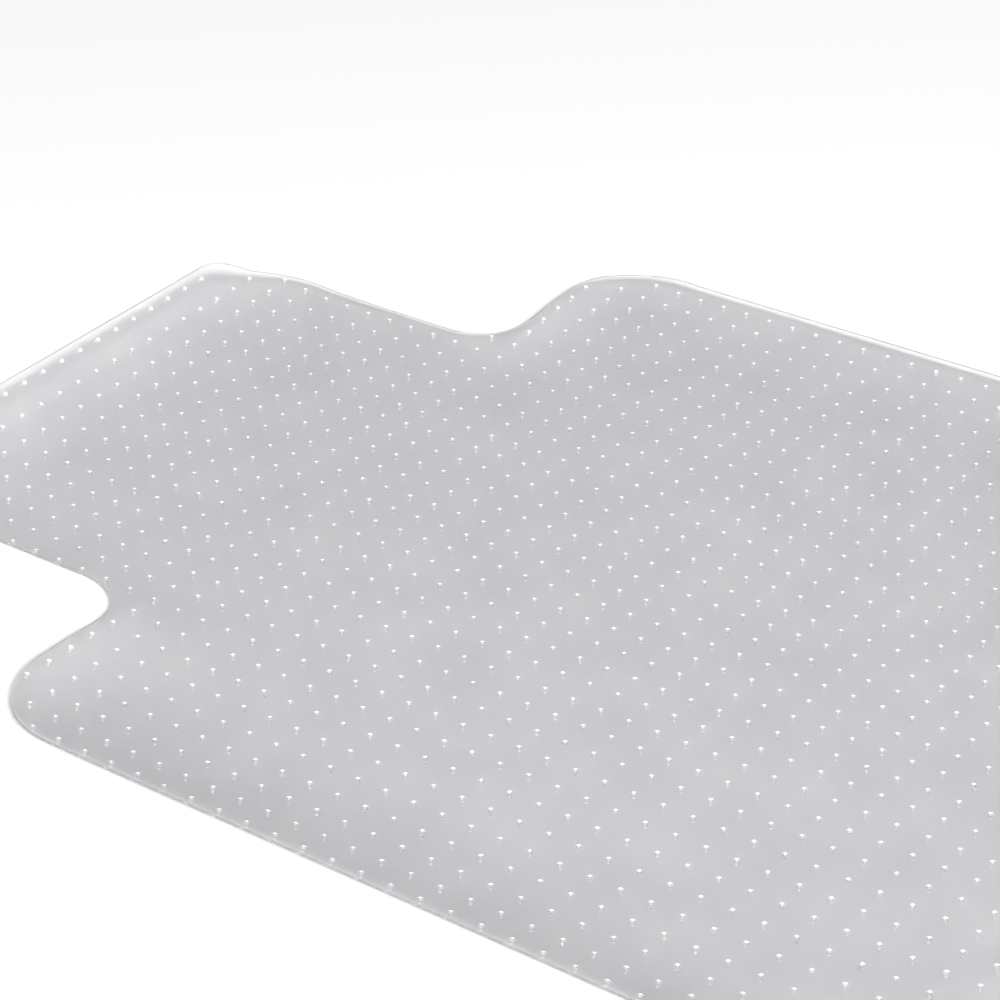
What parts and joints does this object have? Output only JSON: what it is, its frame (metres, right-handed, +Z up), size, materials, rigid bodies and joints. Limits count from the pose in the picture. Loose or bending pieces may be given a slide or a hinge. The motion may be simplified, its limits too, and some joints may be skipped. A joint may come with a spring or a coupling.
{
  "type": "chair mat",
  "caption": "Clear studded floor mat with a front lip; an office chair rolls on it and the studs grip low-pile carpet.",
  "frame": {"origin": "on the floor, under the middle of the mat's footprint", "axes": "+Y towards the lip and the desk, +X to the sitter's right, +Z up"},
  "size_m": [0.914, 1.207, 0.0425],
  "materials": {
    "clear_pvc_sheet": "clear, slightly grey PVC with a glossy, faintly grained top",
    "clear_pvc_stud": "clear PVC, moulded in one with the sheet"
  },
  "bodies": {
    "root": {"mat_sheet": "clear_pvc_sheet", "body_stud_row01_col1": "clear_pvc_stud", "body_stud_row01_col2": "clear_pvc_stud", "body_stud_row01_col3": "clear_pvc_stud", "body_stud_row01_col4": "clear_pvc_stud", "body_stud_row01_col5": "clear_pvc_stud", "body_stud_row02_col1": "clear_pvc_stud", "body_stud_row02_col2": "clear_pvc_stud", "body_stud_row02_col3": "clear_pvc_stud", "body_stud_row02_col4": "clear_pvc_stud", "body_stud_row02_col5": "clear_pvc_stud", "body_stud_row03_col1": "clear_pvc_stud", "body_stud_row03_col2": "clear_pvc_stud", "body_stud_row03_col3": "clear_pvc_stud", "body_stud_row03_col4": "clear_pvc_stud", "body_stud_row03_col5": "clear_pvc_stud", "body_stud_row04_col1": "clear_pvc_stud", "body_stud_row04_col2": "clear_pvc_stud", "body_stud_row04_col3": "clear_pvc_stud", "body_stud_row04_col4": "clear_pvc_stud", "body_stud_row04_col5": "clear_pvc_stud", "body_stud_row05_col1": "clear_pvc_stud", "body_stud_row05_col2": "clear_pvc_stud", "body_stud_row05_col3": "clear_pvc_stud", "body_stud_row05_col4": "clear_pvc_stud", "body_stud_row05_col5": "clear_pvc_stud", "body_stud_row06_col1": "clear_pvc_stud", "body_stud_row06_col2": "clear_pvc_stud", "body_stud_row06_col3": "clear_pvc_stud", "body_stud_row06_col4": "clear_pvc_stud", "body_stud_row06_col5": "clear_pvc_stud", "body_stud_row07_col1": "clear_pvc_stud", "body_stud_row07_col2": "clear_pvc_stud", "body_stud_row07_col3": "clear_pvc_stud", "body_stud_row07_col4": "clear_pvc_stud", "body_stud_row07_col5": "clear_pvc_stud", "body_stud_row08_col1": "clear_pvc_stud", "body_stud_row08_col2": "clear_pvc_stud", "body_stud_row08_col3": "clear_pvc_stud", "body_stud_row08_col4": "clear_pvc_stud", "body_stud_row08_col5": "clear_pvc_stud", "body_stud_row09_col1": "clear_pvc_stud", "body_stud_row09_col2": "clear_pvc_stud", "body_stud_row09_col3": "clear_pvc_stud", "body_stud_row09_col4": "clear_pvc_stud", "body_stud_row09_col5": "clear_pvc_stud", "lip_stud_row10_col2": "clear_pvc_stud", "lip_stud_row10_col3": "clear_pvc_stud", "lip_stud_row10_col4": "clear_pvc_stud", "lip_stud_row11_col2": "clear_pvc_stud", "lip_stud_row11_col3": "clear_pvc_stud", "lip_stud_row11_col4": "clear_pvc_stud"}
  },
  "joints": []
}
